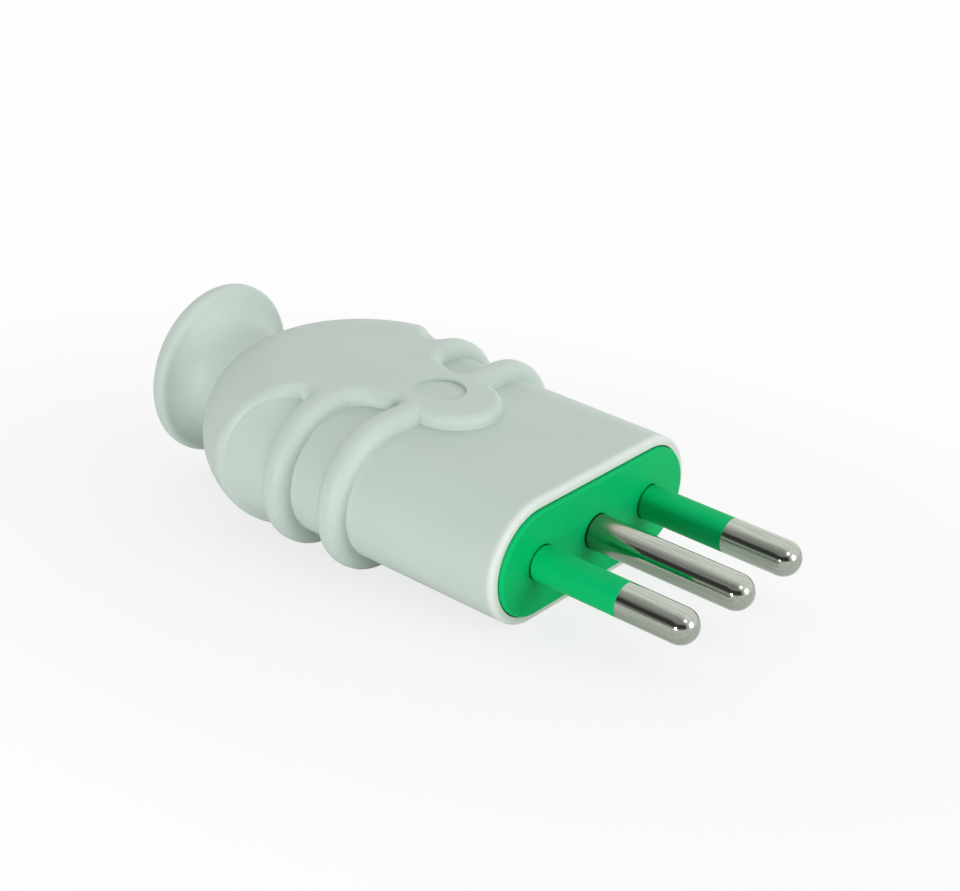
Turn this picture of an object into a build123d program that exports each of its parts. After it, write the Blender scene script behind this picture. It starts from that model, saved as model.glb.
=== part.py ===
"""Grounded mains plug with three round pins in line and a rear cable entry.

Millimetres. The origin is the centre of the plug's face, on the axis of the earth pin.
+X points along the pins to their tips, +Y to the neutral side and +Z up.
"""
import os

from build123d import *

# Pins
pin_diameter = 4.0
pin_spacing = 9.5
pin_reach = 19.5
earth_extra = 0.3
sleeve_reach = 10.8
sleeve_wall = 0.5
groove_depth = 0.25
groove_front = 0.2
groove_back = 1.0

# Face of the plug and the barrel behind it
end_margin = 0.3
barrel_radius = 7.2
shell_wall = 1.6
lip_width = 0.95
lip_round = 0.5
face_proud = 0.5
face_round = 0.3
plate_thickness = 3.0

# Raised grip behind the barrel
grip_front_rise = 1.4
grip_rear_rise = 1.85
rib_x = -22.25
rib_pitch = 8.2
rib_width = 3.4
rib_round = 1.5
rear_x = -33.0

# Valleys between the ribs, which narrow to a wedge beside the flat top
first_wedge_tip = 4.9
first_wedge_side = 6.8
second_wedge_x = -41.0
second_wedge_tip = 9.0
second_wedge_side = 20.0
wedge_tip_round = 0.8
wedge_side_round = 2.5

# Slope from the last valley up to the rear of the grip
slope_length = 6.3
slope_rise = 4.6
slope_spread = 0.2
slope_sink = 0.25

# Round boss at the front of the flat top, with a shallow dish
boss_x = -20.6
boss_radius = 5.5
boss_round = 1.0
boss_margin = 1.1
dish_x = -22.5
dish_radius = 2.95
dish_depth = 0.4

# Neck and flange at the cable end
neck_radius = 6.4
flare_radius = 4.1
flange_rim = 1.1
flange_round = 1.0
rim_round = 0.9
flange_x = -58.3
bore_radius = 4.5
bore_round = 2.0

# Terminals on the inner ends of the pins
terminal_front = 5.0
terminal_length = 10.0
wire_hole_radius = 1.5
wire_hole_depth = 7.0
terminal_screw_set_back = 4.0
terminal_screw_tip = 0.6

# Screws
terminal_screw_radius = 1.45
terminal_head_radius = 2.6
clamp_screw_radius = 1.2
clamp_head_radius = 2.3
fixing_screw_radius = 1.4
fixing_head_radius = 2.6
fixing_screw_length = 6.0
head_height = 1.5
slot_width = 0.8
slot_depth = 0.8

# Insert behind the face
block_end = 15.5
tongue_end = 31.5
tongue_thickness = 1.45
post_radius = 3.2
post_height = 5.0
post_cap = 1.6
clamp_x = -27.0
clamp_width = 6.0
clamp_foot = 2.2
clamp_arch_wall = 1.5
clamp_round = 1.0
pillar_radius = 2.8
pillar_height = 2.8

# Clearances
plate_gap = 0.15
slide_gap = 0.15
pin_gap = 0.05
sleeve_gap = 0.02
thread_gap = 0.05
head_gap = 0.3
seat_gap = 0.1

# Sizes that follow from those above
pin_radius = pin_diameter / 2
core_radius = pin_radius - sleeve_wall
groove_radius = pin_radius - groove_depth
end_centre = pin_spacing + end_margin
lip_x = -face_proud
rebate_radius = barrel_radius - lip_width
cavity_radius = barrel_radius - shell_wall
block_radius = cavity_radius - slide_gap
grip_x = boss_x + boss_radius + boss_margin
grip_front_radius = barrel_radius + grip_front_rise
grip_rear_radius = barrel_radius + grip_rear_rise
half_rib = rib_width / 2
rib_2_x = rib_x - rib_pitch
slope_x = rear_x - slope_length
slope_radius = barrel_radius + slope_rise
slope_centre = end_centre + slope_spread - slope_rise
flange_radius = neck_radius + flare_radius
rim_x = flange_x + flange_round + flange_rim
flare_x = rim_x + flare_radius
neck_x = rear_x - end_centre
mouth_x = flange_x + bore_round
terminal_radius = block_radius - head_height - seat_gap - head_gap - slide_gap
terminal_back = terminal_front + terminal_length
terminal_screw_x = terminal_screw_set_back - terminal_back
fixing_seat_z = -(cavity_radius + shell_wall)
tongue_top = tongue_thickness - block_radius
pillar_top = tongue_top + pillar_height
clamp_arch_outer = cavity_radius - head_gap
clamp_spacing = clamp_arch_outer + clamp_head_radius + head_gap
through = 4 * (end_centre + grip_rear_radius)


def slot_section(x, radius, centre=end_centre):
    """Flat-sided oval across the plug at the given x."""
    with BuildSketch(Plane.YZ.offset(x)) as section:
        SlotCenterToCenter(2 * centre, 2 * radius)
    return section.sketch


def half_disc(radius):
    """Rounded rear end: half of a thick disc with a round rim."""
    with BuildPart() as disc:
        with BuildSketch(Plane.YZ.offset(rear_x)):
            SlotCenterToCenter(2 * end_centre, 2 * radius)
            split(bisect_by=Plane.YZ, keep=Keep.TOP)
        revolve(axis=Axis((rear_x, 0, 0), (0, 0, 1)), revolution_arc=180)
    return disc.part


def valley_prism(front_x, back_x, tip, side):
    """Cutter for the valley on both sides of the plug, its inner corners rounded in plan."""
    with BuildPart() as prism:
        with BuildSketch(Plane.XY.offset(-through / 2)) as outline:
            with BuildLine():
                Polyline((front_x, tip), (back_x, side), (back_x, through), (front_x, through), close=True)
            make_face()
            fillet(outline.vertices().group_by(Axis.Y)[1], wedge_side_round)
            fillet(outline.vertices().group_by(Axis.Y)[0], wedge_tip_round)
            mirror(about=Plane.XZ)
        extrude(amount=through)
    return prism.part


def slotted_screw(seat, direction, shank_radius, shank_length, head_radius):
    """Cheese-head screw, its head's seat at the given point and its shank along the direction."""
    with BuildPart(Plane(seat, z_dir=direction)) as screw:
        Cylinder(shank_radius, shank_length, align=(Align.CENTER, Align.CENTER, Align.MIN))
        Cylinder(head_radius, head_height, align=(Align.CENTER, Align.CENTER, Align.MAX))
        with Locations((0, 0, -head_height)):
            Box(
                slot_width,
                3 * head_radius,
                slot_depth,
                align=(Align.CENTER, Align.CENTER, Align.MIN),
                mode=Mode.SUBTRACT,
            )
    return screw.part


def write(part, name):
    part.label = name
    export_step(part, f"parts/{name}.step")


os.makedirs("parts", exist_ok=True)

# Barrel with a rounded lip round the face
with BuildPart() as barrel:
    extrude(slot_section(rear_x, barrel_radius), amount=lip_x - rear_x)
    fillet(barrel.faces().sort_by(Axis.X)[-1].edges(), lip_round)

# Slope behind the last valley, from the barrel up to the round rear end
with BuildPart() as rear:
    add(half_disc(grip_rear_radius - slope_sink))
    loft(
        [
            slot_section(rear_x, barrel_radius),
            slot_section(slope_x, slope_radius, slope_centre),
            slot_section(flange_x, slope_radius, slope_centre),
        ],
        ruled=True,
        mode=Mode.INTERSECT,
    )

# Bar that rises as far as the first rib, runs level from there and ends round
with BuildPart() as bar:
    loft([slot_section(rib_x, grip_rear_radius), slot_section(grip_x, grip_front_radius)])
    extrude(slot_section(rear_x, grip_rear_radius), amount=rib_x - rear_x)
    add(half_disc(grip_rear_radius))

# The ribs and the flat top are what the valleys leave of the bar
with BuildPart() as grip:
    add(bar.part)
    split(bisect_by=Plane.YZ.offset(rib_x + half_rib), keep=Keep.BOTTOM)
    fillet(grip.faces().sort_by(Axis.X)[-1].edges(), rib_round)
    add(
        valley_prism(rib_x - half_rib, rib_2_x + half_rib, first_wedge_tip, first_wedge_side),
        mode=Mode.SUBTRACT,
    )
    fillet(grip.edges(Select.NEW), rib_round)
    add(
        valley_prism(rib_2_x - half_rib, second_wedge_x, second_wedge_tip, second_wedge_side),
        mode=Mode.SUBTRACT,
    )
    fillet(grip.edges(Select.NEW).filter_by(Axis.Z, reverse=True), rib_round)

# Boss on the top and the underside
with BuildPart() as boss:
    add(bar.part)
    with BuildSketch(Plane.XY.offset(-through / 2)):
        with Locations((boss_x, 0)):
            Circle(boss_radius)
    extrude(amount=through, mode=Mode.INTERSECT)
    fillet(boss.edges(Select.NEW), boss_round)

# Neck, flare and flange round the cable entry
with BuildPart() as tail:
    with BuildSketch(Plane.XZ):
        with BuildLine():
            Polyline((flare_x, neck_radius), (neck_x, neck_radius), (neck_x, 0), (flange_x, 0))
            Polyline((flange_x, 0), (flange_x, flange_radius), (rim_x, flange_radius))
            RadiusArc((flare_x, neck_radius), (rim_x, flange_radius), flare_radius)
        make_face()
    revolve(axis=Axis.X)
    fillet(tail.edges().group_by(Axis.X)[0], flange_round)
    fillet(tail.edges().filter_by_position(Axis.X, rim_x, rim_x).sort_by(SortBy.RADIUS)[-1], rim_round)

# Hollow of the shell: round-ended like the grip, with a cable bore that widens at its mouth
with BuildPart() as cavity:
    with BuildSketch(Plane.XZ):
        with BuildLine():
            Polyline((mouth_x, bore_radius), (neck_x, bore_radius), (neck_x, 0), (flange_x - bore_round, 0))
            Polyline(
                (flange_x - bore_round, 0),
                (flange_x - bore_round, bore_radius + bore_round),
                (flange_x, bore_radius + bore_round),
            )
            RadiusArc((mouth_x, bore_radius), (flange_x, bore_radius + bore_round), bore_round)
        make_face()
    revolve(axis=Axis.X)
    add(half_disc(cavity_radius))
    extrude(slot_section(rear_x, cavity_radius), amount=-rear_x)

# Outer shell: one hollow moulding
with BuildPart() as outer_shell:
    add(tail.part)
    add(rear.part)
    add(barrel.part)
    add(grip.part)
    add(boss.part)
    # Shallow dish in the boss on the top
    with BuildSketch(Plane.XY.offset(grip_rear_radius - dish_depth)):
        with Locations((dish_x, 0)):
            Circle(dish_radius)
    extrude(amount=through, mode=Mode.SUBTRACT)
    # Sunk hole for the fixing screw in the boss on the underside
    with BuildSketch(Plane.XY.offset(fixing_seat_z)):
        with Locations((boss_x, 0)):
            Circle(fixing_head_radius + head_gap)
    extrude(amount=-through, mode=Mode.SUBTRACT)
    with BuildSketch(Plane.XY.offset(fixing_seat_z)):
        with Locations((boss_x, 0)):
            Circle(fixing_screw_radius + head_gap)
    extrude(amount=barrel_radius, mode=Mode.SUBTRACT)
    # Rebate for the face plate, and the hollow behind it
    extrude(slot_section(-plate_thickness, rebate_radius), amount=through, mode=Mode.SUBTRACT)
    add(cavity.part, mode=Mode.SUBTRACT)
write(outer_shell.part, "outer_shell")

# Insert: face plate, block with the terminal pockets, tongue with the screw post and clamp pillars
with BuildPart() as pin_carrier:
    extrude(slot_section(-plate_thickness, rebate_radius - plate_gap), amount=plate_thickness)
    fillet(pin_carrier.faces().sort_by(Axis.X)[-1].edges(), face_round)
    extrude(slot_section(-block_end, block_radius), amount=block_end - plate_thickness)
    with BuildSketch(Plane.YZ.offset(-tongue_end)):
        SlotCenterToCenter(2 * end_centre, 2 * block_radius)
        split(bisect_by=Plane.XZ.offset(-tongue_top), keep=Keep.TOP)
    extrude(amount=tongue_end - block_end)
    with BuildSketch(Plane.XY.offset(tongue_top)):
        with Locations((boss_x, 0)):
            Circle(post_radius)
    extrude(amount=post_height)
    with BuildSketch(Plane.XY.offset(tongue_top)):
        with Locations((clamp_x, clamp_spacing), (clamp_x, -clamp_spacing)):
            Circle(pillar_radius)
    extrude(amount=pillar_height)
    # Holes for the pins, and pockets for their terminals, open at the back and the top
    with BuildSketch(Plane.YZ):
        with GridLocations(pin_spacing, 0, 3, 1):
            Circle(pin_radius + pin_gap)
    extrude(amount=-block_end, mode=Mode.SUBTRACT)
    with BuildSketch(Plane.YZ.offset(-terminal_front)):
        with GridLocations(pin_spacing, 0, 3, 1):
            Circle(terminal_radius + seat_gap)
            Rectangle(
                2 * (terminal_radius + seat_gap),
                block_radius,
                align=(Align.CENTER, Align.MIN),
            )
    extrude(amount=terminal_front - block_end, mode=Mode.SUBTRACT)
    # Pilot holes for the fixing screw and the clamp screws
    with BuildSketch(Plane.XY.offset(-block_radius)):
        with Locations((boss_x, 0)):
            Circle(fixing_screw_radius + thread_gap)
    extrude(amount=tongue_thickness + post_height - post_cap, mode=Mode.SUBTRACT)
    with BuildSketch(Plane.XY.offset(pillar_top)):
        with Locations((clamp_x, clamp_spacing), (clamp_x, -clamp_spacing)):
            Circle(clamp_screw_radius + thread_gap)
    extrude(amount=-pillar_height, mode=Mode.SUBTRACT)
write(pin_carrier.part, "pin_carrier")


def turned_pin(y, reach):
    """Turned pin: round tip, shank, groove at its root, terminal with wire and screw holes."""
    with BuildPart() as pin:
        with BuildSketch(Plane((0, y, 0))):
            with BuildLine():
                Polyline(
                    (reach, 0),
                    (-terminal_back, 0),
                    (-terminal_back, terminal_radius),
                    (-terminal_front, terminal_radius),
                    (-terminal_front, pin_radius),
                    (-groove_back, pin_radius),
                    (-groove_back, groove_radius),
                    (groove_front, groove_radius),
                    (groove_front, pin_radius),
                    (reach - pin_radius, pin_radius),
                )
                RadiusArc((reach - pin_radius, pin_radius), (reach, 0), pin_radius)
            make_face()
        revolve(axis=Axis((0, y, 0), (1, 0, 0)))
        with BuildSketch(Plane.YZ.offset(-terminal_back)):
            with Locations((y, 0)):
                Circle(wire_hole_radius)
        extrude(amount=wire_hole_depth, mode=Mode.SUBTRACT)
        with BuildSketch(Plane.XY):
            with Locations((terminal_screw_x, y)):
                Circle(terminal_screw_radius + thread_gap)
        extrude(amount=terminal_radius, mode=Mode.SUBTRACT)
    return pin.part


def sleeve_tube(y, inner_radius):
    """Tube round the root of an outer pin, from its terminal to the end of the insulation."""
    with BuildPart() as tube:
        with BuildSketch(Plane((0, y, 0))):
            with BuildLine():
                Polyline(
                    (-terminal_front, inner_radius),
                    (-terminal_front, pin_radius),
                    (-groove_back, pin_radius),
                    (-groove_back, groove_radius),
                    (groove_front, groove_radius),
                    (groove_front, pin_radius),
                    (sleeve_reach, pin_radius),
                    (sleeve_reach, inner_radius),
                    close=True,
                )
            make_face()
        revolve(axis=Axis((0, y, 0), (1, 0, 0)))
    return tube.part


write(turned_pin(0, pin_reach + earth_extra), "earth_pin")

# The outer pins are turned down where their insulating sleeves sit
for name, y in (("line_pin", -pin_spacing), ("neutral_pin", pin_spacing)):
    with BuildPart() as outer_pin:
        add(turned_pin(y, pin_reach))
        add(sleeve_tube(y, core_radius), mode=Mode.SUBTRACT)
    write(outer_pin.part, name)
    write(sleeve_tube(y, core_radius + sleeve_gap), f"{name}_sleeve")

# Screws that hold the wires in the terminals
terminal_seat_z = terminal_radius + seat_gap
with BuildPart() as terminal_screws:
    for y in (-pin_spacing, 0, pin_spacing):
        add(
            slotted_screw(
                (terminal_screw_x, y, terminal_seat_z),
                (0, 0, -1),
                terminal_screw_radius,
                terminal_seat_z - terminal_screw_tip,
                terminal_head_radius,
            )
        )
write(terminal_screws.part, "terminal_screws")

# Saddle across the cable, with a flat foot on each pillar
with BuildPart() as cord_clamp:
    with BuildSketch(Plane.YZ.offset(clamp_x - clamp_width / 2)):
        Circle(clamp_arch_outer)
        with Locations((0, pillar_top)):
            Rectangle(
                2 * (clamp_spacing + pillar_radius),
                clamp_foot,
                align=(Align.CENTER, Align.MIN),
            )
        Circle(clamp_arch_outer - clamp_arch_wall, mode=Mode.SUBTRACT)
        split(bisect_by=Plane.XZ.offset(-pillar_top), keep=Keep.BOTTOM)
    extrude(amount=clamp_width)
    with BuildSketch(Plane.XY.offset(pillar_top)):
        with Locations((clamp_x, clamp_spacing), (clamp_x, -clamp_spacing)):
            Circle(clamp_screw_radius + head_gap)
    extrude(amount=clamp_foot, mode=Mode.SUBTRACT)
    fillet(cord_clamp.edges().filter_by(Axis.Z).group_by(SortBy.LENGTH)[-1], clamp_round)
write(cord_clamp.part, "cord_clamp")

# Screws that pull the saddle down on the pillars
with BuildPart() as cord_clamp_screws:
    for y in (-clamp_spacing, clamp_spacing):
        add(
            slotted_screw(
                (clamp_x, y, pillar_top + clamp_foot),
                (0, 0, -1),
                clamp_screw_radius,
                clamp_foot + pillar_height - head_gap,
                clamp_head_radius,
            )
        )
write(cord_clamp_screws.part, "cord_clamp_screws")

# Screw through the underside of the shell into the post of the insert
carrier_fixing_screw = slotted_screw(
    (boss_x, 0, fixing_seat_z),
    (0, 0, 1),
    fixing_screw_radius,
    fixing_screw_length,
    fixing_head_radius,
)
write(carrier_fixing_screw, "carrier_fixing_screw")
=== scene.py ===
import math

import bpy
from mathutils import Matrix, Vector

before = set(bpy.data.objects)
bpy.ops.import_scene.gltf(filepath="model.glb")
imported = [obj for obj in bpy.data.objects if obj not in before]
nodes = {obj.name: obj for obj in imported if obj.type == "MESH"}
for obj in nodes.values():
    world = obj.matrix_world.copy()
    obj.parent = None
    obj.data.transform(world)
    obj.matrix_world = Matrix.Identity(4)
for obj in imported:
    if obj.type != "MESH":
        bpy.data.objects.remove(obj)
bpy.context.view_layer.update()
mm = 0.001
print("frame loaded:", len(nodes), "nodes")


# Node helpers

plainWhite = (1, 1, 1, 1)
mixFirst, mixSecond, mixResult = 6, 7, 2  # the Mix node's colour sockets
noiseDetail = {"cloud": 3.0, "grain": 1.0, "wave": 1.0, "streak": 3.0}  # layers of finer noise in each


def emptyTree(owner, outputKind):
    owner.use_nodes = True
    tree = owner.node_tree
    tree.nodes.clear()
    output = tree.nodes.new(outputKind)
    return tree, output.inputs["Surface"]


def addNode(tree, kind, settings=None, inputs=None):
    node = tree.nodes.new(kind)
    for key, value in (settings or {}).items():
        setattr(node, key, value)
    for key, value in (inputs or {}).items():
        if isinstance(value, bpy.types.NodeSocket):
            tree.links.new(value, node.inputs[key])
        else:
            node.inputs[key].default_value = value
    return node


def newFinish(name):
    material = bpy.data.materials.new(name)
    tree, surface = emptyTree(material, "ShaderNodeOutputMaterial")
    shader = addNode(tree, "ShaderNodeBsdfPrincipled")
    tree.links.new(shader.outputs["BSDF"], surface)
    return material, tree, shader


def objectNoise(tree, look, key, stretch=(1, 1, 1)):
    coords = addNode(tree, "ShaderNodeTexCoord")
    mapping = addNode(
        tree,
        "ShaderNodeMapping",
        inputs={"Vector": coords.outputs["Object"], "Scale": stretch},
    )
    noise = addNode(
        tree,
        "ShaderNodeTexNoise",
        inputs={"Vector": mapping.outputs["Vector"], "Scale": 1 / look[key], "Detail": noiseDetail[key]},
    )
    return noise.outputs["Fac"]


def alongPlug(tree):
    coords = addNode(tree, "ShaderNodeTexCoord")
    parts = addNode(tree, "ShaderNodeSeparateXYZ", inputs={0: coords.outputs["Object"]})
    return parts.outputs["X"]


def rangeOf(tree, value, low, high):
    node = addNode(tree, "ShaderNodeMapRange", inputs={"Value": value, "To Min": low, "To Max": high})
    return node.outputs["Result"]


def riseOf(tree, value, start, full):
    node = addNode(
        tree,
        "ShaderNodeMapRange",
        {"interpolation_type": "SMOOTHSTEP"},
        {"Value": value, "From Min": start, "From Max": full},
    )
    return node.outputs["Result"]


def combine(tree, operation, first, second):
    node = addNode(tree, "ShaderNodeMath", {"operation": operation}, {0: first, 1: second})
    return node.outputs[0]


def mixColours(tree, factor, first, second):
    ends = [end if isinstance(end, bpy.types.NodeSocket) else (*end, 1) for end in (first, second)]
    node = addNode(
        tree,
        "ShaderNodeMix",
        {"data_type": "RGBA"},
        {"Factor": factor, mixFirst: ends[0], mixSecond: ends[1]},
    )
    return node.outputs[mixResult]


def mixShaders(tree, surface, share, first, second):
    node = addNode(
        tree,
        "ShaderNodeMixShader",
        inputs={0: share, 1: first.outputs[0], 2: second.outputs[0]},
    )
    tree.links.new(node.outputs[0], surface)


def addBump(tree, shader, height, depth, below=None):
    inputs = {"Height": height, "Distance": depth, "Strength": 1.0}
    if below is not None:
        inputs["Normal"] = below
    bump = addNode(tree, "ShaderNodeBump", inputs=inputs)
    tree.links.new(bump.outputs["Normal"], shader.inputs["Normal"])
    return bump.outputs["Normal"]


# Moulded plastics

shellPlastic = {
    "pale": (0.555, 0.65, 0.59),
    "dark": (0.515, 0.605, 0.545),
    "cloud": 9 * mm,  # size of the faint tone changes
    "grain": 0.16 * mm,  # spark-eroded mould texture
    "grainDepth": 0.004 * mm,
    "wave": 5 * mm,  # slight sink of thick walls
    "waveDepth": 0.012 * mm,
    "roughness": (0.46, 0.56),
    "specular": 0.38,
    "lip": (0.70, 0.75, 0.705),  # painted highlight: the thin lip round the mouth is painted paler than the rest of the shell
    "lipReach": (-1.5 * mm, -0.9 * mm),  # from where it starts to where it is full
}

insertPlastic = {
    "pale": (0.0, 0.50, 0.148),
    "dark": (0.0, 0.445, 0.128),
    "cloud": 6 * mm,
    "grain": 0.12 * mm,
    "grainDepth": 0.003 * mm,
    "wave": 4 * mm,
    "waveDepth": 0.006 * mm,
    "roughness": (0.44, 0.54),
    "specular": 0.08,
}


def makePlastic(name, look):
    material, tree, shader = newFinish(name)
    cloud = objectNoise(tree, look, "cloud")
    grain = objectNoise(tree, look, "grain")
    wave = objectNoise(tree, look, "wave")
    colour = mixColours(tree, cloud, look["dark"], look["pale"])
    if "lip" in look:
        # painted highlight: near the mouth the shell colour is mixed towards the paler lip colour
        lipShare = riseOf(tree, alongPlug(tree), *look["lipReach"])
        colour = mixColours(tree, lipShare, colour, look["lip"])
    tree.links.new(colour, shader.inputs["Base Color"])
    tree.links.new(rangeOf(tree, grain, *look["roughness"]), shader.inputs["Roughness"])
    waved = addBump(tree, shader, wave, look["waveDepth"])
    addBump(tree, shader, grain, look["grainDepth"], waved)
    shader.inputs["Specular IOR Level"].default_value = look["specular"]
    return material


# Metals

pinNickel = {
    "pale": (0.51, 0.545, 0.48),
    "dark": (0.395, 0.415, 0.355),
    "streak": 0.25 * mm,  # width of the drawn lines along the pin
    "streakStretch": (0.04, 1, 1),
    "streakDepth": 0.0015 * mm,
    "contrast": (0.25, 0.65),
    "roughness": (0.12, 0.06),
    "rootTone": (0.43, 0.385, 0.315),  # darker, browner colour towards the root
    "rootRoughness": 0.30,
    "rootReach": (7 * mm, 0),  # from where it starts to where it is full
}

screwSteel = {
    "pale": (0.62, 0.62, 0.60),
    "dark": (0.50, 0.50, 0.49),
    "streak": 0.2 * mm,
    "streakStretch": (1, 1, 0.2),
    "streakDepth": 0.002 * mm,
    "contrast": (0.25, 0.75),
    "roughness": (0.40, 0.25),
}


def makeMetal(name, look):
    material, tree, shader = newFinish(name)
    drawn = objectNoise(tree, look, "streak", look["streakStretch"])
    streak = riseOf(tree, drawn, *look["contrast"])
    colour = mixColours(tree, streak, look["dark"], look["pale"])
    roughness = rangeOf(tree, streak, *look["roughness"])
    if "rootTone" in look:
        # towards the root the pin gets a darker, browner colour and a rougher finish
        rootShare = riseOf(tree, alongPlug(tree), *look["rootReach"])
        colour = mixColours(tree, rootShare, colour, look["rootTone"])
        roughness = rangeOf(tree, rootShare, roughness, look["rootRoughness"])
    tree.links.new(colour, shader.inputs["Base Color"])
    tree.links.new(roughness, shader.inputs["Roughness"])
    addBump(tree, shader, streak, look["streakDepth"])
    shader.inputs["Metallic"].default_value = 1.0
    return material


def dress(material, *names):
    for name in names:
        for slot in nodes[name].material_slots:
            slot.material = material


dress(makePlastic("paleMouldedShell", shellPlastic), "outer_shell", "cord_clamp")
dress(makePlastic("greenInsert", insertPlastic), "pin_carrier")
dress(makePlastic("greenSleeve", insertPlastic), "line_pin_sleeve", "neutral_pin_sleeve")
dress(makeMetal("nickelPin", pinNickel), "earth_pin", "line_pin", "neutral_pin")
dress(makeMetal("platedScrew", screwSteel), "terminal_screws", "cord_clamp_screws", "carrier_fixing_screw")
print("materials done")


# Floor

floorLook = {
    "size": 6.0,
    "tilt": math.radians(5.2),  # the plug lies nose down, on its lower boss and its lip
    "colour": (0.85, 0.85, 0.85),
    "glow": (0.78, 0.985),  # share of plain white beside the plug and far from it, keeps the shadow faint
    "mirrored": 0.2,  # how much of that share the metal shows
    "middle": (-19 * mm, 0, 0),
    "reach": (1.7, 1, 1),  # the patch beside the plug is longer along it
    "fade": (30 * mm, 80 * mm),  # from where the patch ends to where the far share is full
}


def seenRay(tree, mirrored):
    path = addNode(tree, "ShaderNodeLightPath")
    bounced = combine(tree, "MAXIMUM", path.outputs["Is Glossy Ray"], path.outputs["Is Transmission Ray"])
    shown = combine(tree, "MULTIPLY", bounced, mirrored)
    return combine(tree, "MAXIMUM", path.outputs["Is Camera Ray"], shown)


def makePaper():
    material = bpy.data.materials.new("whiteFloor")
    tree, surface = emptyTree(material, "ShaderNodeOutputMaterial")
    paper = addNode(tree, "ShaderNodeBsdfDiffuse", inputs={"Color": (*floorLook["colour"], 1)})
    glow = addNode(tree, "ShaderNodeEmission", inputs={"Color": plainWhite, "Strength": 1.0})
    coords = addNode(tree, "ShaderNodeTexCoord")
    around = addNode(
        tree,
        "ShaderNodeMapping",
        {"vector_type": "TEXTURE"},
        {"Vector": coords.outputs["Object"], "Location": floorLook["middle"], "Scale": floorLook["reach"]},
    )
    away = addNode(tree, "ShaderNodeVectorMath", {"operation": "LENGTH"}, {0: around.outputs[0]})
    far = riseOf(tree, away.outputs["Value"], *floorLook["fade"])
    glowShare = rangeOf(tree, far, *floorLook["glow"])
    seen = seenRay(tree, floorLook["mirrored"])
    mixShaders(tree, surface, combine(tree, "MULTIPLY", seen, glowShare), paper, glow)
    return material


def makeFloor():
    turn = Matrix.Rotation(-floorLook["tilt"], 4, "Y")
    lowest = min((turn.inverted() @ v.co).z for n in nodes.values() for v in n.data.vertices)
    bpy.ops.object.select_all(action="DESELECT")
    bpy.ops.mesh.primitive_plane_add(size=floorLook["size"])
    floor = bpy.context.object
    floor.name = "floor"
    floor.data.transform(turn @ Matrix.Translation((0, 0, lowest)))
    floor.data.materials.append(makePaper())


makeFloor()
print("floor done")


# Light

studio = {
    "tent": (0.30, 1.07),  # light of the white tent at the front and at the back
    "edge": (-0.65, 0.25),  # where the change between the two starts and where it ends
    "opening": 0.01,  # light through the tent's open front
    "front": (-0.25, -0.50),  # where the opening starts and where it is full, to the front
    "foot": (0.10, 0.22),  # the same from the floor up
    "head": (0.62, 0.48),  # the same from the ceiling down
    "mirrored": 0.05,  # how much of the plain white round it the metal shows
}

lamps = {
    "leftLamp": {"place": (0.065, -0.46, 0.03), "size": 0.10, "watts": 1.32},
    "rightLamp": {"place": (0.41, 0.08, 0.14), "size": 0.20, "watts": 0.46},
    "frontLamp": {"place": (0.31, -0.10, 0.39), "size": 0.16, "watts": 0.14},
}


def makeWorld():
    world = bpy.data.worlds.new("studioAir")
    bpy.context.scene.world = world
    tree, surface = emptyTree(world, "ShaderNodeOutputWorld")
    coords = addNode(tree, "ShaderNodeTexCoord")
    way = addNode(tree, "ShaderNodeSeparateXYZ", inputs={0: coords.outputs["Generated"]})
    front = riseOf(tree, way.outputs["Y"], *studio["front"])
    foot = riseOf(tree, way.outputs["Z"], *studio["foot"])
    head = riseOf(tree, way.outputs["Z"], *studio["head"])
    opening = combine(tree, "MULTIPLY", front, combine(tree, "MULTIPLY", foot, head))
    tent = rangeOf(tree, riseOf(tree, way.outputs["Y"], *studio["edge"]), *studio["tent"])
    strength = rangeOf(tree, opening, tent, studio["opening"])
    light = addNode(tree, "ShaderNodeBackground", inputs={"Color": plainWhite, "Strength": strength})
    white = addNode(tree, "ShaderNodeBackground", inputs={"Color": plainWhite, "Strength": 1.0})
    mixShaders(tree, surface, seenRay(tree, studio["mirrored"]), light, white)


def makeLamp(name, look):
    data = bpy.data.lights.new(name, "AREA")
    data.shape = "DISK"
    data.size = look["size"]
    data.energy = look["watts"]
    lamp = bpy.data.objects.new(name, data)
    bpy.context.scene.collection.objects.link(lamp)
    lamp.location = look["place"]
    lamp.rotation_mode = "QUATERNION"
    lamp.rotation_quaternion = (-lamp.location).to_track_quat("-Z", "Y")


makeWorld()
for lampName, lampLook in lamps.items():
    makeLamp(lampName, lampLook)
bpy.context.scene.view_settings.view_transform = "Standard"
print("light done")


# Camera

photoCamera = {
    "azimuth": math.radians(38.01),
    "elevation": math.radians(26.61),
    "roll": math.radians(3.67),
    "aim": Vector((-12.49, -5.06, 7.39)) * mm,
    "distance": 222 * mm,
    "lens": 78.1,
    "sensor": 36.0,
    "clipStart": 10 * mm,
}


def makeCamera():
    look = photoCamera
    azimuth, elevation = look["azimuth"], look["elevation"]
    back = Vector(
        (
            math.sin(azimuth) * math.cos(elevation),
            -math.cos(azimuth) * math.cos(elevation),
            math.sin(elevation),
        )
    )
    data = bpy.data.cameras.new("photoCamera")
    data.lens = look["lens"]
    data.sensor_width = look["sensor"]
    data.clip_start = look["clipStart"]
    camera = bpy.data.objects.new("photoCamera", data)
    bpy.context.scene.collection.objects.link(camera)
    camera.location = look["aim"] + back * look["distance"]
    turn = (-back).to_track_quat("-Z", "Y").to_matrix() @ Matrix.Rotation(look["roll"], 3, "Z")
    camera.rotation_mode = "QUATERNION"
    camera.rotation_quaternion = turn.to_quaternion()
    bpy.context.scene.camera = camera


makeCamera()
print("camera done")
